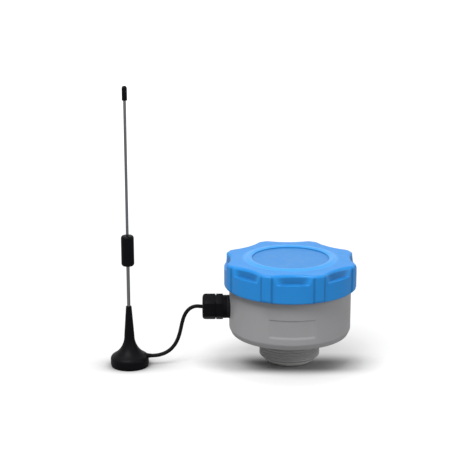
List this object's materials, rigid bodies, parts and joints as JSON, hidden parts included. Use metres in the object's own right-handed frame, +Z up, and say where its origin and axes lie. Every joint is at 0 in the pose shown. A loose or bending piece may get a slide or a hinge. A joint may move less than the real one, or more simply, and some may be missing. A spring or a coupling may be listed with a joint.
{
  "type": "radar level transmitter",
  "caption": "Battery radar level transmitter with a blue lobed screw cap, a threaded radar stub, a cable gland and a coax whip antenna on a magnetic foot.",
  "frame": {"origin": "centre of the lens face that the transmitter stands on", "axes": "+Z up along the axis of thread, housing and cap; +X away from the gland; +Y away from the label field"},
  "size_m": [0.1935, 0.104, 0.222],
  "materials": {
    "housing_grey": "satin",
    "stub_grey": "satin",
    "cap_blue": "satin",
    "lens_plastic": "satin",
    "black_plastic": "satin",
    "black_rubber": "matt",
    "seal_rubber": "matt",
    "board_green": "satin",
    "component_black": "matt",
    "terminal_green": "satin",
    "capacitor_sleeve": "satin",
    "cell_wrap": "satin",
    "aluminium_cast": "satin",
    "shield_tin": "satin",
    "screw_steel": "polished",
    "spring_strip": "satin",
    "whip_steel": "satin",
    "plug_brass": "satin",
    "coil_copper": "satin",
    "magnet_grey": "matt"
  },
  "bodies": {
    "transmitter": {"housing": "housing_grey", "process_stub": "stub_grey", "lens": "lens_plastic", "lens_seal": "seal_rubber", "horn": "aluminium_cast", "radar_board": "board_green", "radar_chip": "component_black", "radar_screws": "screw_steel", "board_link": "component_black", "main_board": "board_green", "board_screws": "screw_steel", "modem_module": "shield_tin", "card_holder": "shield_tin", "terminal_block": "terminal_green", "buffer_capacitor": "capacitor_sleeve", "coax_socket": "plug_brass", "coax_plug": "plug_brass", "cable_tail": "black_rubber", "battery_cradle": "component_black", "battery_contacts": "spring_strip", "battery_cell": "cell_wrap", "battery_strap": "seal_rubber", "gland_washer": "seal_rubber", "gland_body": "black_plastic", "gland_locknut": "black_plastic", "antenna_cable": "black_rubber", "cable_boot": "black_rubber", "antenna_foot": "black_plastic", "antenna_magnet": "magnet_grey", "antenna_pad": "black_rubber", "antenna_insert": "plug_brass", "whip_lower": "whip_steel", "loading_coil": "coil_copper", "coil_sleeve": "black_plastic", "whip_upper": "whip_steel", "tip_cap": "black_plastic"},
    "cap_seal": {"cap_gasket": "seal_rubber"},
    "cap_body": {"cap": "cap_blue"},
    "nut_seal": {"gland_seal": "seal_rubber"},
    "nut_body": {"gland_nut": "black_plastic"}
  },
  "joints": [
    {"name": "cap_lift", "type": "slide", "parent": "transmitter", "child": "cap_seal", "axis": [0, 0, 1], "range_m": [0, 0.0201]},
    {"name": "cap_turn", "type": "hinge", "parent": "cap_seal", "child": "cap_body", "pos_m": [0, 0, 0.0723], "axis": [0, 0, 1], "range_deg": [0, 1800]},
    {"name": "gland_nut_travel", "type": "slide", "parent": "transmitter", "child": "nut_seal", "axis": [-1, 0, 0], "range_m": [0, 0.0031]},
    {"name": "gland_nut_turn", "type": "hinge", "parent": "nut_seal", "child": "nut_body", "pos_m": [-0.064, 0, 0.044], "axis": [-1, 0, 0], "range_deg": [0, 720]}
  ],
  "couplings": [
    {"joint": "cap_lift", "follows": "cap_turn", "m_per_rad": 0.00063662},
    {"joint": "gland_nut_travel", "follows": "gland_nut_turn", "m_per_rad": 0.00023873}
  ]
}
